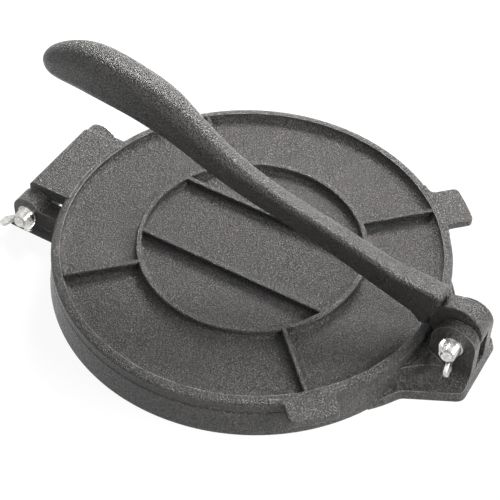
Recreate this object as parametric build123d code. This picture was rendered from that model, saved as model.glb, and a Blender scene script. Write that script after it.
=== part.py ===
from build123d import *
import math
import os

# Hinged cast-iron press for flattening balls of dough, closed, standing on a table.
# Z is up and z = 0 is the table. The origin is on the axis of the round plates.
# +Y runs to the hinge at the back, -Y to the yoke that carries the lever in front.
# All sizes are in millimetres.

# round plates
plate_diameter = 203.0
base_height = 15.2
base_side_draft = 2.0
plate_thickness = 7.3
edge_round = 0.8
crown_width = 4.0
crown_drop = 2.0

# recess and ribs on the top of the upper plate
rim_width = 4.6
recess_depth = 4.6
recess_fillet = 4.2
ring_radius = 57.6
rib_width = 2.8
rib_fillet = 1.7
rib_drop = 0.2
rib_crown = 0.8
spoke_angle = 45.0
chord_rib_offset = 22.0

# hollow underside of the base
skirt_width = 6.0
floor_thickness = 5.6
under_rib_width = 4.4
under_rib_flare = 1.2
under_rib_sink = 0.5

# finger tabs on the upper plate, in front
tab_angle = 45.0
tab_width = 24.4
left_tab_reach = 11.4
right_tab_reach = 14.4
tab_thickness = 3.8
tab_corner = 3.0
tab_root_round = 3.0

# hinge at the back
hinge_reach = 14.8
hinge_z = 9.4
knuckle_radius = 9.3
knuckle_outer_x = 34.4
tongue_width = 48.8
tongue_gap = 0.4
tongue_back = 5.2
tongue_corner = 3.4
tongue_barrel_radius = 8.6
tongue_root_sink = 10.0
bracket_foot_x = 38.6
bracket_foot_height = 3.2
bracket_foot_slope = 1.4
bracket_root = 13.5
bracket_step = 1.2
bracket_web_gap = 5.6

# yoke in front: reach is counted outwards from the rim of the plates
pivot_reach = 14.0
pivot_z = 25.4
ear_gap = 10.0
ear_thickness = 6.0
ear_radius = 11.2
ear_foot_draft = 0.5
ear_cove = 5.6
slot_floor_z = 7.4
yoke_end_reach = 27.0
yoke_end_width = 40.0
yoke_waist_reach = 0.5
yoke_waist_width = 67.2
yoke_waist_round = 8.0
yoke_root_sink = 11.0
yoke_sweep = 14.0
yoke_sweep_bow = 1.0
yoke_corner = 5.5
lip_height = 4.6
lip_draft = 16.0
gusset_root_width = 58.0
gusset_root_sink = 4.0
gusset_reach = 13.0
gusset_cove = 5.0

# lever: places are counted from its pivot, along +Y and up
lever_side_gap = 0.3
hub_radius = 13.6
hub_rise = 4.1
hub_shift = 2.2
hub_edge_round = 1.0
neck_foot_drop = 9.5
neck_top_rise = 8.2
neck_back_rise = 12.2
slab_thickness = 11.6
slab_edge_round = 2.2
slab_end = 31.5
nose_ahead = 17.2
nose_gap = 0.3
nose_length = 4.0
nose_lift = 1.0
nose_round = 3.0
throat_ahead = 25.0
throat_rise = 2.6
shoulder_ahead = 10.6
shoulder_rise = 19.9
shoulder_round = 2.4
tip_round = 1.5

# Stations along the lever, from the slab to the tip of the grip:
# distance and height of the middle, slope in degrees, depth, thickness, corner radius
lever_stations = [
    (27.5, 12.1, 16.0, 16.2, 11.6, 2.2),
    (43.5, 15.9, 15.5, 15.2, 10.6, 2.6),
    (70.5, 23.7, 15.0, 14.3, 9.8, 3.0),
    (95.5, 30.0, 15.0, 14.4, 10.0, 3.6),
    (117.5, 36.2, 18.5, 16.4, 11.0, 4.8),
    (140.5, 46.2, 26.5, 19.2, 13.2, 6.2),
    (158.5, 56.3, 27.5, 23.4, 16.0, 7.7),
    (175.5, 63.3, 18.5, 27.2, 18.4, 8.9),
    (195.5, 67.3, 6.5, 28.4, 19.4, 9.4),
    (212.5, 68.0, -4.5, 26.2, 18.8, 9.1),
    (224.0, 65.8, -11.0, 21.0, 16.8, 8.1),
    (232.0, 63.4, -14.0, 15.0, 13.0, 6.2),
    (235.6, 62.2, -14.0, 9.2, 8.4, 3.9),
]

# bolts, washers and wing nuts, the same size at both joints
bolt_diameter = 6.0
bore_clearance = 0.08
bolt_head_width = 10.0
bolt_head_height = 4.0
bolt_head_bevel = 1.1
bolt_end_chamfer = 0.6
bolt_past_nut = 1.6
washer_diameter = 11.0
washer_thickness = 1.2
nut_base_diameter = 10.0
nut_top_diameter = 8.2
nut_height = 6.0
nut_foot = 2.0
wing_span = 22.6
wing_height = 11.4
wing_thickness = 2.0
wing_root_radius = 3.4
wing_lean = 1.0
wing_knee_height = 5.1
wing_tip_height = 10.3
wing_top_inset = 4.5
wing_web_height = 5.4
wing_tip_round = 1.9
wing_edge_round = 0.5
hinge_wing_turn = 74.0
lever_wing_turn = -16.0

plate_radius = plate_diameter / 2
hinge_y = plate_radius + hinge_reach
bracket_root_y = plate_radius - bracket_root
pivot_y = -plate_radius - pivot_reach
yoke_end_y = -plate_radius - yoke_end_reach
yoke_waist_y = -plate_radius - yoke_waist_reach
yoke_root_y = -plate_radius + yoke_root_sink
plate_top_z = base_height + plate_thickness
recess_floor_z = plate_top_z - recess_depth
rib_top_z = plate_top_z - rib_drop
knuckle_inner_x = tongue_width / 2 + tongue_gap
ear_inner_x = ear_gap / 2
ear_outer_x = ear_inner_x + ear_thickness
lever_half = ear_inner_x - lever_side_gap
bolt_radius = bolt_diameter / 2
# pieces of one casting run this far into each other, and cutters this far past
overlap = 1.0
bore_radius = bolt_radius + bore_clearance
along_x = Plane.YZ


def save(node, shape):
    export_step(shape, os.path.join("parts", node + ".step"))


def x_cylinder(radius, x_from, x_to, y, z):
    """Cylinder along X between two x values."""
    disc = along_x.offset(x_from) * Pos(y, z) * Circle(radius)
    return extrude(disc, amount=x_to - x_from)


def ring_profile(points):
    """Face in the XZ plane from radius, height points, ready to revolve about Z."""
    outline = [(r, 0, z) for r, z in points]
    return make_face(Polyline(*outline, close=True))


def rib_section(width, top_z, foot_z, fillet_radius):
    """Section of a cast rib: flat-topped, with a concave fillet at each foot.
    Local X is across the rib and local Y is height."""
    half = width / 2
    foot = half + fillet_radius
    knee_z = foot_z + fillet_radius
    sunk_z = foot_z - fillet_radius / 2
    arc_x = foot - fillet_radius * math.sin(math.radians(45))
    arc_z = knee_z - fillet_radius * math.cos(math.radians(45))
    crown = min(rib_crown, half, top_z - knee_z)
    outline = [
        Line((-foot, sunk_z), (foot, sunk_z)),
        Line((foot, sunk_z), (foot, foot_z)),
        ThreePointArc((foot, foot_z), (arc_x, arc_z), (half, knee_z)),
        Line((half, knee_z), (half, top_z - crown)),
        RadiusArc((half, top_z - crown), (half - crown, top_z), -crown),
        Line((half - crown, top_z), (crown - half, top_z)),
        RadiusArc((crown - half, top_z), (-half, top_z - crown), -crown),
        Line((-half, top_z - crown), (-half, knee_z)),
        ThreePointArc((-half, knee_z), (-arc_x, arc_z), (-foot, foot_z)),
        Line((-foot, foot_z), (-foot, sunk_z)),
    ]
    return make_face(Curve() + outline)


def straight_rib(section, start, end, angle, offset=0):
    """Rib along a line at an angle to X, from start to end along that line."""
    across = Plane(origin=(start, offset, 0), x_dir=(0, 1, 0), z_dir=(1, 0, 0))
    return Rot(0, 0, angle) * extrude(across * section, amount=end - start)


# ---------------------------------------------------------------- upper plate
def plate_disc():
    """Round plate with a crowned rim and a recess that meets the rim in a fillet."""
    outer = plate_radius
    inner = outer - rim_width
    floor_radius = inner - recess_fillet
    crown_z = plate_top_z - crown_drop
    outline = [
        Line((0, base_height), (outer - edge_round, base_height)),
        RadiusArc(
            (outer - edge_round, base_height),
            (outer, base_height + edge_round),
            -edge_round,
        ),
        Line((outer, base_height + edge_round), (outer, crown_z)),
        EllipticalCenterArc(
            (outer - crown_width, crown_z), crown_width, crown_drop, arc_size=90
        ),
        Line((outer - crown_width, plate_top_z), (inner, plate_top_z)),
        Line((inner, plate_top_z), (inner, recess_floor_z + recess_fillet)),
        RadiusArc(
            (inner, recess_floor_z + recess_fillet),
            (floor_radius, recess_floor_z),
            recess_fillet,
        ),
        Line((floor_radius, recess_floor_z), (0, recess_floor_z)),
        Line((0, recess_floor_z), (0, base_height)),
    ]
    return revolve(Plane.XZ * make_face(Curve() + outline), Axis.Z)


def plate_ribs():
    section = rib_section(rib_width, rib_top_z, recess_floor_z, rib_fillet)
    ring = revolve(Plane.XZ * Pos(ring_radius, 0) * section, Axis.Z)
    ribs = [ring]
    spoke_end = plate_radius - rim_width + overlap
    for quarter in range(4):
        angle = spoke_angle + 90 * quarter
        ribs.append(straight_rib(section, ring_radius, spoke_end, angle))
    half_chord = math.sqrt(ring_radius**2 - chord_rib_offset**2)
    for side in (-1, 1):
        ribs.append(
            straight_rib(section, -half_chord, half_chord, 90, side * chord_rib_offset)
        )
    return ribs


def finger_tab(angle, reach):
    """Flat tab with a rounded end and a hollow round where it leaves the rim."""
    outer = plate_radius + reach
    root = plate_radius - rim_width / 2
    slab_z = plate_top_z - tab_thickness
    strip = Pos((outer + root) / 2, 0) * Rectangle(
        outer - root + 2 * overlap, tab_width
    )
    plan = (Circle(outer) & strip) - Circle(root)
    plan += Circle(plate_radius) & Pos(plate_radius, 0) * Rectangle(
        2 * rim_width, tab_width + 4 * tab_root_round
    )
    tips = plan.vertices().filter_by(lambda v: v.X > plate_radius + reach / 2)
    plan = fillet(tips, tab_corner)
    roots = plan.vertices().filter_by(
        lambda v: abs(abs(v.Y) - tab_width / 2) < 0.01 and v.X < plate_radius + overlap
    )
    plan = fillet(roots, tab_root_round)
    plan -= Circle(root)
    tab = extrude(Pos(0, 0, slab_z) * plan, amount=tab_thickness)
    rims = tab.edges().group_by(Axis.Z)[-1]
    rims = rims.filter_by(lambda e: e.center().X > plate_radius + reach / 3)
    tab = fillet(rims, edge_round)
    return Rot(0, 0, angle) * tab


def hinge_tongue():
    """Thick tongue at the back of the upper plate, wrapped round the hinge bolt."""
    half = tongue_width / 2
    back_y = hinge_y + tongue_back
    root_y = plate_radius - tongue_root_sink
    barrel = tongue_barrel_radius
    front_y = hinge_y - barrel
    web = Polyline(
        (root_y, plate_top_z),
        (back_y, plate_top_z),
        (back_y, hinge_z),
        (front_y, hinge_z),
        (front_y, base_height),
        (root_y, base_height),
        close=True,
    )
    profile = make_face(web)
    corner = profile.vertices().sort_by(Axis.X)[-2:].sort_by(Axis.Y)[-1]
    profile = fillet(corner, tongue_corner)
    profile += Pos(hinge_y, hinge_z) * Circle(barrel)
    tongue = extrude(along_x.offset(-half) * profile, amount=2 * half)
    return tongue - x_cylinder(
        bore_radius, -half - overlap, half + overlap, hinge_y, hinge_z
    )


def top_plate():
    plate = plate_disc() + plate_ribs()
    # the tongue stops at the rim, so it never fills the recess
    keep_out = Pos(0, 0, base_height + plate_thickness / 2) * Cylinder(
        plate_radius - rim_width / 2, 4 * plate_thickness
    )
    plate += hinge_tongue() - keep_out
    plate += finger_tab(-90 - tab_angle, left_tab_reach)
    plate += finger_tab(-90 + tab_angle, right_tab_reach)
    return plate


# ---------------------------------------------------------------- base
def base_disc():
    foot_radius = plate_radius + base_side_draft
    skirt_radius = foot_radius - skirt_width
    roof_z = base_height - floor_thickness
    outline = ring_profile(
        [
            (0, roof_z),
            (skirt_radius - base_side_draft, roof_z),
            (skirt_radius, 0),
            (foot_radius, 0),
            (plate_radius, base_height),
            (0, base_height),
        ]
    )
    disc = revolve(outline, Axis.Z)
    rounded = disc.edges().filter_by(
        lambda e: e.geom_type == GeomType.CIRCLE and e.radius > plate_radius - edge_round
    )
    return fillet(rounded, edge_round)


def under_rib_section():
    top = under_rib_width / 2 + under_rib_flare
    bottom = under_rib_width / 2
    roof_z = base_height - floor_thickness + under_rib_sink
    return make_face(
        Polyline((-bottom, 0), (bottom, 0), (top, roof_z), (-top, roof_z), close=True)
    )


def base_ribs():
    section = under_rib_section()
    reach = plate_radius + base_side_draft - skirt_width + overlap
    ribs = [revolve(Plane.XZ * Pos(ring_radius, 0) * section, Axis.Z)]
    for side in (-1, 1):
        ribs.append(straight_rib(section, -reach, reach, side * spoke_angle))
    return ribs


def hinge_knuckle(side):
    """One of the two hinge ears of the base, with its flared foot."""
    arm = Pos(hinge_y, hinge_z) * Circle(knuckle_radius)
    reach = hinge_y - bracket_root_y
    block = Pos(bracket_root_y + reach / 2, hinge_z / 2) * Rectangle(reach, hinge_z)
    low_block = Pos(hinge_y, hinge_z / 2) * Rectangle(2 * knuckle_radius, hinge_z)
    web_z = base_height - bracket_step
    web_reach = reach - bracket_web_gap
    web = Pos(bracket_root_y + web_reach / 2, web_z / 2) * Rectangle(web_reach, web_z)
    profile = arm + block + low_block + web
    width = knuckle_outer_x - knuckle_inner_x
    knuckle = extrude(along_x.offset(knuckle_inner_x) * profile, amount=width)
    foot_back = hinge_y + knuckle_radius
    foot = make_face(
        Polyline(
            (knuckle_outer_x - overlap, 0),
            (bracket_foot_x, 0),
            (bracket_foot_x - bracket_foot_slope, bracket_foot_height / 2),
            (knuckle_outer_x, bracket_foot_height),
            (knuckle_outer_x - overlap, bracket_foot_height),
            close=True,
        )
    )
    foot_start = Plane(origin=(0, bracket_root_y, 0), x_dir=(1, 0, 0), z_dir=(0, -1, 0))
    knuckle += extrude(foot_start * foot, amount=-(foot_back - bracket_root_y))
    bore_end = bracket_foot_x + overlap
    knuckle -= x_cylinder(
        bore_radius, knuckle_inner_x - overlap, bore_end, hinge_y, hinge_z
    )
    return knuckle if side > 0 else mirror(knuckle, Plane.YZ)


def yoke_flange():
    """Flat foot of the yoke: a hollow curve out of the disc, then a taper."""
    foot_radius = plate_radius + base_side_draft
    waist = yoke_waist_width / 2
    end = yoke_end_width / 2
    leave_x = waist + yoke_sweep
    leave_y = -math.sqrt(foot_radius**2 - leave_x**2)
    bow_x = (leave_x + waist) / 2 - yoke_sweep_bow / 2
    bow_y = (leave_y + yoke_waist_y) / 2 - yoke_sweep_bow
    half_outline = [
        Line((0, yoke_root_y), (leave_x, yoke_root_y)),
        Line((leave_x, yoke_root_y), (leave_x, leave_y)),
        ThreePointArc((leave_x, leave_y), (bow_x, bow_y), (waist, yoke_waist_y)),
        Line((waist, yoke_waist_y), (end, yoke_end_y)),
        Line((end, yoke_end_y), (0, yoke_end_y)),
    ]
    mirrored = [mirror(edge, Plane.YZ) for edge in half_outline]
    plan = make_face(Curve() + half_outline + mirrored)
    corners = plan.vertices().filter_by(
        lambda v: abs(v.Y - yoke_end_y) < overlap and abs(v.X) > overlap
    )
    plan = fillet(corners, yoke_corner)
    waists = plan.vertices().filter_by(lambda v: abs(v.Y - yoke_waist_y) < overlap)
    plan = fillet(waists, yoke_waist_round)
    # the drafted slab grows downwards, so it is turned over to stand on the table
    return mirror(extrude(plan, amount=lip_height, taper=lip_draft), Plane.XY)


def yoke_foot():
    """Foot of the yoke, with the sloping shoulder that carries it into the disc."""
    root_y = -plate_radius + gusset_root_sink
    root = gusset_root_width / 2
    run = gusset_reach + gusset_root_sink
    apex_y = root_y - run * root / (root - ear_outer_x)
    plan = make_face(
        Polyline(
            (-root, yoke_root_y),
            (root, yoke_root_y),
            (root, root_y),
            (0, apex_y),
            (-root, root_y),
            close=True,
        )
    )
    bed_length = yoke_root_y - apex_y + 2 * gusset_root_width
    bed = Pos(0, yoke_root_y - bed_length / 2, lip_height / 2) * Box(
        2 * plate_radius, bed_length, lip_height
    )
    block = extrude(plan, amount=base_height) + bed
    hollows = block.edges().filter_by(
        lambda e: abs(e.center().Z - lip_height) < 0.01
        and abs(e.center().X) < root + overlap
        and apex_y < e.center().Y < yoke_root_y - overlap
    )
    block = fillet(hollows, gusset_cove)
    brow = Pos(root_y, lip_height) * Ellipse(run, base_height - lip_height)
    brow += Pos(yoke_root_y - bed_length / 2, lip_height / 2) * Rectangle(
        bed_length, lip_height
    )
    block &= extrude(along_x * brow, amount=plate_radius, both=True)
    head_room = Pos(0, 0, base_height + lip_height) * Box(
        4 * plate_radius, 4 * plate_radius, 2 * base_height
    )
    return block & (yoke_flange() + head_room)


def yoke_ear(side):
    """One of the two ears that hold the lever, with a hollow blend at its foot."""
    radius = ear_radius
    blend_x = ear_outer_x + ear_cove
    blend_z = lip_height + ear_cove
    ear_top_z = pivot_z + radius + overlap
    sunk_z = lip_height / 2
    side_view = make_face(
        Polyline(
            (pivot_y - radius, pivot_z),
            (pivot_y + radius, pivot_z),
            (pivot_y + radius, sunk_z),
            (pivot_y - radius - ear_foot_draft, sunk_z),
            close=True,
        )
    )
    side_view += Pos(pivot_y, pivot_z) * Circle(radius)
    front_view = [
        Line((0, sunk_z), (blend_x, sunk_z)),
        Line((blend_x, sunk_z), (blend_x, lip_height)),
        RadiusArc((blend_x, lip_height), (ear_outer_x, blend_z), ear_cove),
        Line((ear_outer_x, blend_z), (ear_outer_x, ear_top_z)),
        Line((ear_outer_x, ear_top_z), (ear_inner_x, ear_top_z)),
        Line((ear_inner_x, ear_top_z), (ear_inner_x, slot_floor_z)),
        Line((ear_inner_x, slot_floor_z), (0, slot_floor_z)),
        Line((0, slot_floor_z), (0, sunk_z)),
    ]
    front = Plane.XZ.offset(-pivot_y - 2 * radius) * make_face(Curve() + front_view)
    bar = extrude(front, amount=4 * radius)
    ear = extrude(along_x * side_view, amount=2 * blend_x) & bar
    ear -= x_cylinder(
        bore_radius, ear_inner_x - overlap, blend_x + overlap, pivot_y, pivot_z
    )
    return ear if side > 0 else mirror(ear, Plane.YZ)


def base_plate():
    underside_cut = Pos(0, 0, -overlap) * Cylinder(
        plate_radius + base_side_draft - skirt_width,
        base_height - floor_thickness + overlap,
        align=(Align.CENTER, Align.CENTER, Align.MIN),
    )
    outside = yoke_foot()
    for side in (-1, 1):
        outside += hinge_knuckle(side)
    outside -= underside_cut
    base = base_disc() + base_ribs() + outside
    for side in (-1, 1):
        base += yoke_ear(side)
    return base


# ---------------------------------------------------------------- lever
def lever_slab():
    """Thick end of the lever: it stops at a shoulder, and its nose is on the rim."""
    first = lever_stations[0]
    slope = math.radians(first[2])
    half_depth = first[3] / 2 / math.cos(slope)
    end_y = pivot_y + slab_end
    end_z = pivot_z + first[1] + (slab_end - first[0]) * math.tan(slope)
    nose_y = pivot_y + nose_ahead
    nose_z = plate_top_z + nose_gap
    shoulder_y = pivot_y + shoulder_ahead
    profile = make_face(
        Polyline(
            (shoulder_y, pivot_z + shoulder_rise),
            (end_y, end_z + half_depth),
            (end_y, end_z - half_depth),
            (pivot_y + throat_ahead, pivot_z + throat_rise),
            (nose_y + nose_length, nose_z + nose_lift),
            (nose_y, nose_z),
            close=True,
        )
    )
    shoulder = profile.vertices().sort_by(Axis.X)[0]
    profile = fillet(shoulder, shoulder_round)
    nose = profile.vertices().sort_by(Axis.Y)[:2]
    profile = fillet(nose, nose_round)
    half = slab_thickness / 2
    slab = extrude(along_x.offset(-half) * profile, amount=2 * half)
    sides = slab.faces().filter_by(Axis.X)
    rims = [e for face in sides for e in face.edges()]
    rims = [e for e in rims if e.center().Y < end_y - slab_edge_round]
    return fillet(rims, slab_edge_round)


def lever_hub():
    """Thin round hub that turns between the ears."""
    hub_y = pivot_y + hub_shift
    hub_z = pivot_z + hub_rise
    hub = x_cylinder(hub_radius, -lever_half, lever_half, hub_y, hub_z)
    hub = fillet(hub.edges().filter_by(GeomType.CIRCLE), hub_edge_round)
    neck = make_face(
        Polyline(
            (hub_y, hub_z - neck_foot_drop),
            (pivot_y + nose_ahead + nose_round, plate_top_z + nose_round),
            (pivot_y + nose_ahead + nose_round, hub_z + neck_top_rise),
            (hub_y, hub_z + neck_back_rise),
            close=True,
        )
    )
    inset = lever_half - hub_edge_round / 2
    return hub + extrude(along_x.offset(-inset) * neck, amount=2 * inset)


def lever_arm():
    """Bar and rounded grip, lofted through rounded sections along the lever."""
    sections = []
    for ahead, rise, slope, depth, thickness, corner in lever_stations:
        turn = math.radians(slope)
        plane = Plane(
            origin=(0, pivot_y + ahead, pivot_z + rise),
            x_dir=(1, 0, 0),
            z_dir=(0, math.cos(turn), math.sin(turn)),
        )
        sections.append(plane * RectangleRounded(thickness, depth, corner))
    return loft(sections)


def lever():
    arm = lever_arm()
    tip = arm.faces().sort_by(Axis.Y)[-1]
    arm = fillet(tip.edges(), tip_round)
    whole = arm + lever_slab() + lever_hub()
    bore = x_cylinder(bore_radius, -ear_inner_x, ear_inner_x, pivot_y, pivot_z)
    return whole - bore


# ---------------------------------------------------------------- fasteners
# Each is made along local Z and then laid along -X, towards the wing nut.
def bolt(grip):
    """Hex bolt: grip is the length from under the head to the washer."""
    length = grip + washer_thickness + nut_height + bolt_past_nut
    shank = Cylinder(bolt_radius, length, align=(Align.CENTER, Align.CENTER, Align.MIN))
    end = shank.edges().sort_by(Axis.Z)[-1]
    shank = chamfer(end, bolt_end_chamfer)
    corner_radius = bolt_head_width / 2 / math.cos(math.radians(30))
    head = extrude(RegularPolygon(corner_radius, 6), amount=-bolt_head_height)
    cone = Pos(0, 0, -bolt_head_height / 2) * Cone(
        corner_radius - bolt_head_bevel / 2,
        corner_radius + 1.5 * bolt_head_height,
        bolt_head_height,
    )
    return shank + (head & cone)


def washer():
    size = Cylinder(
        washer_diameter / 2,
        washer_thickness,
        align=(Align.CENTER, Align.CENTER, Align.MIN),
    )
    hole = Cylinder(bore_radius, 4 * washer_thickness)
    return size - hole


def wing_nut():
    hub = Cone(
        nut_base_diameter / 2,
        nut_top_diameter / 2,
        nut_height,
        align=(Align.CENTER, Align.CENTER, Align.MIN),
    )
    tip = wing_span / 2
    root = wing_root_radius
    wing = make_face(
        Polyline(
            (root, nut_foot / 2),
            (nut_base_diameter / 2, nut_foot),
            (tip - wing_lean, wing_knee_height),
            (tip, wing_tip_height),
            (tip - wing_top_inset, wing_height),
            (nut_top_diameter / 2, wing_web_height),
            (root, wing_web_height - wing_lean),
            close=True,
        )
    )
    ends = wing.vertices().sort_by(Axis.X)[-3:]
    wing = fillet(ends, wing_tip_round)
    blade = extrude(Plane.XZ * wing, amount=wing_thickness / 2, both=True)
    outer_edges = blade.edges().filter_by(lambda e: e.center().X > tip / 2)
    blade = fillet(outer_edges, wing_edge_round)
    nut = hub + blade + mirror(blade, Plane.YZ)
    return nut - Cylinder(bolt_radius + bore_clearance / 2, 6 * nut_height)


def lay_along(y, z, x, turn=0):
    """Place a fastener made along Z so that it runs along -X from the given x."""
    return Pos(x, y, z) * Rot(turn, 0, 0) * Rot(0, -90, 0)


def fasteners(prefix, y, z, outer_x, turn):
    grip = 2 * outer_x
    nut_x = -outer_x - washer_thickness
    save(prefix + "_bolt", lay_along(y, z, outer_x) * bolt(grip))
    save(prefix + "_washer", lay_along(y, z, -outer_x) * washer())
    save(prefix + "_wing_nut", lay_along(y, z, nut_x, turn) * wing_nut())


def main():
    os.makedirs("parts", exist_ok=True)
    save("base_plate", base_plate())
    save("top_plate", top_plate())
    save("lever", lever())
    fasteners("hinge", hinge_y, hinge_z, knuckle_outer_x, hinge_wing_turn)
    fasteners("lever", pivot_y, pivot_z, ear_outer_x, lever_wing_turn)


main()
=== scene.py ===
import math

import bpy
from mathutils import Matrix, Vector

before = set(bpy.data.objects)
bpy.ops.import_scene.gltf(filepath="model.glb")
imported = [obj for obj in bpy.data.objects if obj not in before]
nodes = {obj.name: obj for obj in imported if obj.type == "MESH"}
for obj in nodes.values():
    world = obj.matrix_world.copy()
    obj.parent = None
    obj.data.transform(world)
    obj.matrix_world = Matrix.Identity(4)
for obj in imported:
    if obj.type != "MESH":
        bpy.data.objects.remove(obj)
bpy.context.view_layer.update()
scene = bpy.context.scene
print("frame loaded:", ", ".join(sorted(nodes)))


# camera, taken from the lines of the photo: degrees and metres, lens and sensor in mm
camera = {
    "azimuth": -61.47,
    "elevation": 47.28,
    "roll": 2.38,
    "distance": 0.66707,
    "target": (0.00222, 0.00246, 0.0120),
    "lens": 93.5,
    "sensor": 36.0,
    "near": 0.02,
    "far": 20.0,
}


def addCamera(c):
    az, el = math.radians(c["azimuth"]), math.radians(c["elevation"])
    away = Vector((math.sin(az) * math.cos(el), -math.cos(az) * math.cos(el), math.sin(el)))
    data = bpy.data.cameras.new("photoCamera")
    data.lens = c["lens"]
    data.sensor_width = c["sensor"]
    data.sensor_fit = "HORIZONTAL"
    data.clip_start, data.clip_end = c["near"], c["far"]
    obj = bpy.data.objects.new("photoCamera", data)
    aim = away.to_track_quat("Z", "Y").to_matrix().to_4x4()
    spin = Matrix.Rotation(math.radians(c["roll"]), 4, "Z")
    place = Vector(c["target"]) + away * c["distance"]
    obj.matrix_world = Matrix.Translation(place) @ aim @ spin
    scene.collection.objects.link(obj)
    scene.camera = obj


addCamera(camera)
print("camera placed")


# node helpers
def addNode(tree, kind, **values):
    made = tree.nodes.new(kind)
    for name, value in values.items():
        setattr(made, name, value)
    return made


def feed(tree, source, target):
    tree.links.new(source, target)


def mapRange(tree, source, low, high, toLow, toHigh):
    ramp = addNode(tree, "ShaderNodeMapRange")
    ramp.inputs["From Min"].default_value = low
    ramp.inputs["From Max"].default_value = high
    ramp.inputs["To Min"].default_value = toLow
    ramp.inputs["To Max"].default_value = toHigh
    feed(tree, source, ramp.inputs["Value"])
    return ramp.outputs["Result"]


def mathNode(tree, operation, first, second):
    n = addNode(tree, "ShaderNodeMath", operation=operation)
    for socket, value in zip(n.inputs, (first, second)):
        if isinstance(value, (int, float)):
            socket.default_value = value
        else:
            feed(tree, value, socket)
    return n.outputs[0]


def mixColor(tree, amount, first, second):
    n = addNode(tree, "ShaderNodeMix", data_type="RGBA")
    for name, value in (("Factor", amount), ("A", first), ("B", second)):
        socket = [s for s in n.inputs if s.name == name and s.enabled][0]
        if isinstance(value, tuple):
            socket.default_value = value
        else:
            feed(tree, value, socket)
    return [s for s in n.outputs if s.enabled][0]


def noise(tree, coords, scale, detail, rough=0.5):
    n = addNode(tree, "ShaderNodeTexNoise")
    n.inputs["Detail"].default_value = detail
    n.inputs["Roughness"].default_value = rough
    feed(tree, coords, n.inputs["Vector"])
    if isinstance(scale, (int, float)):
        n.inputs["Scale"].default_value = scale
    else:
        feed(tree, scale, n.inputs["Scale"])
    return n.outputs["Fac"]


# 1 where the camera looks, straight or by way of metal
def seenRay(tree):
    path = addNode(tree, "ShaderNodeLightPath")
    mirrored = mathNode(tree, "MAXIMUM", path.outputs["Is Glossy Ray"],
                        path.outputs["Is Transmission Ray"])
    return mathNode(tree, "MAXIMUM", path.outputs["Is Camera Ray"], mirrored)


def newGroup(name, inputs, outputs):
    group = bpy.data.node_groups.new(name, "ShaderNodeTree")
    for label, value in inputs:
        s = group.interface.new_socket(name=label, in_out="INPUT", socket_type="NodeSocketFloat")
        s.default_value = value
    for label, kind in outputs:
        group.interface.new_socket(name=label, in_out="OUTPUT", socket_type=kind)
    start = group.nodes.new("NodeGroupInput")
    end = group.nodes.new("NodeGroupOutput")
    return group, start, end


def placeGroup(tree, group, **values):
    n = addNode(tree, "ShaderNodeGroup", node_tree=group)
    for name, value in values.items():
        n.inputs[name].default_value = value
    return n


# sand-cast skin: packed rounded grains over slow lumps, heights in 0..1, with a mask of light
# flecks that also paint glints
skinShape = {
    "fineDetail": 3.0, "fineRough": 0.62, "cellSmooth": 0.6, "lumpDetail": 4.0,
    "cellReach": (0.1, 0.75), "fineShare": 0.75, "cellShare": 0.25,
    "pitLevel": (0.40, 0.28), "speckAndGlintLevel": (0.595, 0.68),
}


def castSkinGroup(c):
    group, start, end = newGroup(
        "castSkin",
        [("Grain Scale", 1450.0), ("Pit Scale", 1000.0), ("Lump Scale", 42.0)],
        [("Grain", "NodeSocketFloat"), ("Lumps", "NodeSocketFloat"),
         ("Pits", "NodeSocketFloat"), ("Specks And Glints", "NodeSocketFloat")],
    )
    coords = addNode(group, "ShaderNodeTexCoord").outputs["Object"]
    fine = noise(group, coords, start.outputs["Grain Scale"], c["fineDetail"], c["fineRough"])
    slow = noise(group, coords, start.outputs["Lump Scale"], c["lumpDetail"])
    cells = addNode(group, "ShaderNodeTexVoronoi", feature="SMOOTH_F1")
    cells.inputs["Smoothness"].default_value = c["cellSmooth"]
    feed(group, coords, cells.inputs["Vector"])
    feed(group, start.outputs["Pit Scale"], cells.inputs["Scale"])
    bumpy = mapRange(group, cells.outputs["Distance"], *c["cellReach"], 1.0, 0.0)
    grain = mathNode(group, "ADD", mathNode(group, "MULTIPLY", fine, c["fineShare"]),
                     mathNode(group, "MULTIPLY", bumpy, c["cellShare"]))
    feed(group, grain, end.inputs["Grain"])
    feed(group, slow, end.inputs["Lumps"])
    feed(group, mapRange(group, fine, *c["pitLevel"], 0.0, 1.0), end.inputs["Pits"])
    # light flecks in the grain, which also paint glints on the dark iron
    feed(group, mapRange(group, fine, *c["speckAndGlintLevel"], 0.0, 1.0), end.inputs["Specks And Glints"])
    return group


# rubbed edges, also lightened as a painted highlight, where a softly rounded normal leaves the
# true one; painted shade in the hollows, found from the mesh
edgeShape = {
    "radius": 0.0007, "sharpness": 0.09, "breakScale": 160.0, "samples": 6,
    "breakDetail": 5.0, "breakLevel": (0.35, 0.62), "leastWearAndHighlight": 0.2,
    "paintedCreaseShade": (0.49, 0.42), "outward": (0.48, 0.50),
}


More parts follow.
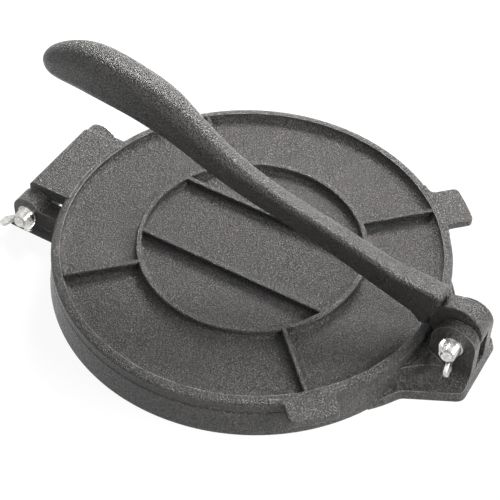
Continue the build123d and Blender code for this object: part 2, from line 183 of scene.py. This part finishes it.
def wearHighlightAndShadeGroup(c):
    group, start, end = newGroup(
        "wearHighlightAndShade",
        [("Radius", c["radius"]), ("Sharpness", c["sharpness"]), ("Break Scale", c["breakScale"])],
        [("Wear And Highlight", "NodeSocketFloat"), ("Painted Shade", "NodeSocketFloat"),
         ("Normal", "NodeSocketVector")],
    )
    coords = addNode(group, "ShaderNodeTexCoord").outputs["Object"]
    geometry = addNode(group, "ShaderNodeNewGeometry")
    bevel = addNode(group, "ShaderNodeBevel", samples=c["samples"])
    feed(group, start.outputs["Radius"], bevel.inputs["Radius"])
    bent = addNode(group, "ShaderNodeVectorMath", operation="DOT_PRODUCT")
    feed(group, bevel.outputs["Normal"], bent.inputs[0])
    feed(group, geometry.outputs["Normal"], bent.inputs[1])
    turned = mathNode(group, "SUBTRACT", 1.0, bent.outputs["Value"])
    sharp = mathNode(group, "DIVIDE", turned, start.outputs["Sharpness"])
    patchy = noise(group, coords, start.outputs["Break Scale"], c["breakDetail"])
    broken = mapRange(group, patchy, *c["breakLevel"], c["leastWearAndHighlight"], 1.0)
    # painted shade: concave spots of the mesh (Pointiness) are marked to be darkened as if
    # shadowed
    paintedCreaseShade = mapRange(group, geometry.outputs["Pointiness"], *c["paintedCreaseShade"], 0.0, 1.0)
    outward = mapRange(group, geometry.outputs["Pointiness"], *c["outward"], 0.0, 1.0)
    edge = mathNode(group, "MINIMUM", sharp, 1.0)
    # lighter rubbed edges, which also serve as a painted edge highlight
    wearAndHighlight = mathNode(group, "MULTIPLY", mathNode(group, "MULTIPLY", edge, broken), outward)
    feed(group, wearAndHighlight, end.inputs["Wear And Highlight"])
    feed(group, paintedCreaseShade, end.inputs["Painted Shade"])
    feed(group, bevel.outputs["Normal"], end.inputs["Normal"])
    return group


castSkin = castSkinGroup(skinShape)
wearHighlightAndShade = wearHighlightAndShadeGroup(edgeShape)
print("shader groups built")


# seasoned cast iron; scales are per metre, heights in metres, levels in grain height
plateIron = {
    "dark": (0.004, 0.0037, 0.0035, 1), "light": (0.100, 0.092, 0.0875, 1),
    # worn: rubbed edges and a painted edge highlight; hollow: dark pits, and painted shade in
    # creases
    "wornAndHighlight": (0.44, 0.42, 0.40, 1), "hollow": (0.008, 0.0075, 0.007, 1),
    # speck: light grain flecks that also paint glints
    "speckAndGlint": (0.21, 0.20, 0.19, 1), "rough": (0.13, 0.33), "specular": 0.5,
    "grainScale": 1450.0, "pitScale": 1000.0, "lumpScale": 42.0,
    "grainHeight": 0.0014, "lumpHeight": 0.0007, "wearAndHighlight": 0.95,
    "bodyLevel": (0.41, 0.56), "roughLevel": (0.3, 0.7),
}
baseIron = dict(plateIron, grainHeight=0.0013)
leverIron = dict(plateIron, grainScale=1600.0, grainHeight=0.0010, lumpHeight=0.0004,
                 rough=(0.18, 0.36))


def ironMaterial(name, c):
    mat = bpy.data.materials.new(name)
    mat.use_nodes = True
    tree = mat.node_tree
    shader = tree.nodes["Principled BSDF"]
    skin = placeGroup(tree, castSkin, **{
        "Grain Scale": c["grainScale"], "Pit Scale": c["pitScale"], "Lump Scale": c["lumpScale"]})
    wearAndHighlight = placeGroup(tree, wearHighlightAndShade)
    height = skin.outputs["Grain"]
    body = mixColor(tree, mapRange(tree, height, *c["bodyLevel"], 0.0, 1.0), c["dark"], c["light"])
    pitted = mixColor(tree, skin.outputs["Pits"], body, c["hollow"])
    # light flecks mixed in: grain specks and painted glints
    speckedAndGlinting = mixColor(tree, skin.outputs["Specks And Glints"], pitted, c["speckAndGlint"])
    # painted shade: creases and hollows of the mesh turn near black, standing in for shadow
    hollow = mixColor(tree, wearAndHighlight.outputs["Painted Shade"], speckedAndGlinting, c["hollow"])
    # edges lightened towards the worn colour: rubbed metal and a painted highlight
    rubbedAndHighlit = mathNode(tree, "MULTIPLY", wearAndHighlight.outputs["Wear And Highlight"], c["wearAndHighlight"])
    feed(tree, mixColor(tree, rubbedAndHighlit, hollow, c["wornAndHighlight"]), shader.inputs["Base Color"])
    glossy, dull = c["rough"]  # the tops of the grains shine, the hollows don't
    feed(tree, mapRange(tree, height, *c["roughLevel"], dull, glossy), shader.inputs["Roughness"])
    shader.inputs["Specular IOR Level"].default_value = c["specular"]
    lumps = addNode(tree, "ShaderNodeBump")
    lumps.inputs["Distance"].default_value = c["lumpHeight"]
    feed(tree, skin.outputs["Lumps"], lumps.inputs["Height"])
    feed(tree, wearAndHighlight.outputs["Normal"], lumps.inputs["Normal"])
    grain = addNode(tree, "ShaderNodeBump")
    grain.inputs["Distance"].default_value = c["grainHeight"]
    feed(tree, height, grain.inputs["Height"])
    feed(tree, lumps.outputs["Normal"], grain.inputs["Normal"])
    feed(tree, grain.outputs["Normal"], shader.inputs["Normal"])
    return mat


# bright zinc on the bolts, washers and wing nuts; each noise has its scale, detail and roughness
zinc = {
    "bright": (0.80, 0.79, 0.77, 1), "dull": (0.46, 0.45, 0.44, 1),
    "rough": (0.14, 0.34), "height": 0.00006,
    "mottle": (350.0, 5.0, 0.6), "mottleLevel": (0.35, 0.65),
    "scratch": (1500.0, 3.0, 0.7), "scratchLevel": (0.3, 0.7),
}


def zincMaterial(name, c):
    mat = bpy.data.materials.new(name)
    mat.use_nodes = True
    tree = mat.node_tree
    shader = tree.nodes["Principled BSDF"]
    coords = addNode(tree, "ShaderNodeTexCoord").outputs["Object"]
    mottle = noise(tree, coords, *c["mottle"])
    scratch = noise(tree, coords, *c["scratch"])
    tarnish = mapRange(tree, mottle, *c["mottleLevel"], 0.0, 1.0)
    feed(tree, mixColor(tree, tarnish, c["bright"], c["dull"]), shader.inputs["Base Color"])
    brushed = mapRange(tree, scratch, *c["scratchLevel"], *c["rough"])
    feed(tree, brushed, shader.inputs["Roughness"])
    shader.inputs["Metallic"].default_value = 1.0
    bump = addNode(tree, "ShaderNodeBump")
    bump.inputs["Distance"].default_value = c["height"]
    feed(tree, mathNode(tree, "ADD", mottle, scratch), bump.inputs["Height"])
    feed(tree, bump.outputs["Normal"], shader.inputs["Normal"])
    return mat


def dress(node, mat):
    for place in nodes[node].material_slots:
        place.material = mat


dress("base_plate", ironMaterial("baseIron", baseIron))
dress("top_plate", ironMaterial("plateIron", plateIron))
dress("lever", ironMaterial("leverIron", leverIron))
zincPlate = zincMaterial("zincPlate", zinc)
for joint in ("hinge", "lever"):
    for kind in ("bolt", "washer", "wing_nut"):
        dress(joint + "_" + kind, zincPlate)
print("castings and fasteners finished")


# floor: pale grey to the light it bounces; the camera sees a dim part of that and a white glow
floorLook = {
    "half": 3.0, "color": (0.64, 0.64, 0.63, 1), "seen": 0.20, "glow": 0.92, "rough": 0.9,
}


def addFloor(c):
    mesh = bpy.data.meshes.new("floor")
    h = c["half"]
    mesh.from_pydata([(-h, -h, 0), (h, -h, 0), (h, h, 0), (-h, h, 0)], [], [(0, 1, 2, 3)])
    obj = bpy.data.objects.new("floor", mesh)
    scene.collection.objects.link(obj)
    mat = bpy.data.materials.new("paleFloor")
    mat.use_nodes = True
    tree = mat.node_tree
    shader = tree.nodes["Principled BSDF"]
    seen = seenRay(tree)
    dim = tuple(v * c["seen"] for v in c["color"][:3]) + (1,)
    feed(tree, mixColor(tree, seen, c["color"], dim), shader.inputs["Base Color"])
    shader.inputs["Roughness"].default_value = c["rough"]
    shader.inputs["Specular IOR Level"].default_value = 0.0
    shader.inputs["Emission Color"].default_value = (1, 1, 1, 1)
    feed(tree, mathNode(tree, "MULTIPLY", seen, c["glow"]), shader.inputs["Emission Strength"])
    mesh.materials.append(mat)


addFloor(floorLook)


# soft light: watts, metres
lights = {
    "right": {"at": (0.12, -0.92, 0.54), "size": (0.60, 0.45), "power": 12.5},
    "far": {"at": (0.44, 0.12, 0.36), "size": (0.30, 0.21), "power": 7.2},
    "top": {"at": (-0.3, 0.5, 1.8), "size": (1.4, 1.4), "power": 3.0},
}
world = {"strength": 0.14, "seen": 1.0}


def addLight(name, c):
    data = bpy.data.lights.new(name, "AREA")
    data.shape = "RECTANGLE"
    data.size, data.size_y = c["size"]
    data.energy = c["power"]
    obj = bpy.data.objects.new(name, data)
    place = Vector(c["at"])
    turn = place.to_track_quat("Z", "Y").to_matrix().to_4x4()
    obj.matrix_world = Matrix.Translation(place) @ turn
    scene.collection.objects.link(obj)


def addWorld(c):
    w = bpy.data.worlds.new("studio")
    scene.world = w
    w.use_nodes = True
    tree = w.node_tree
    back = tree.nodes["Background"]
    back.inputs["Color"].default_value = (1, 1, 1, 1)
    strength = mapRange(tree, seenRay(tree), 0.0, 1.0, c["strength"], c["seen"])
    feed(tree, strength, back.inputs["Strength"])


for name, values in lights.items():
    addLight(name, values)
addWorld(world)
scene.view_settings.view_transform = "Standard"
print("stage and lights set")
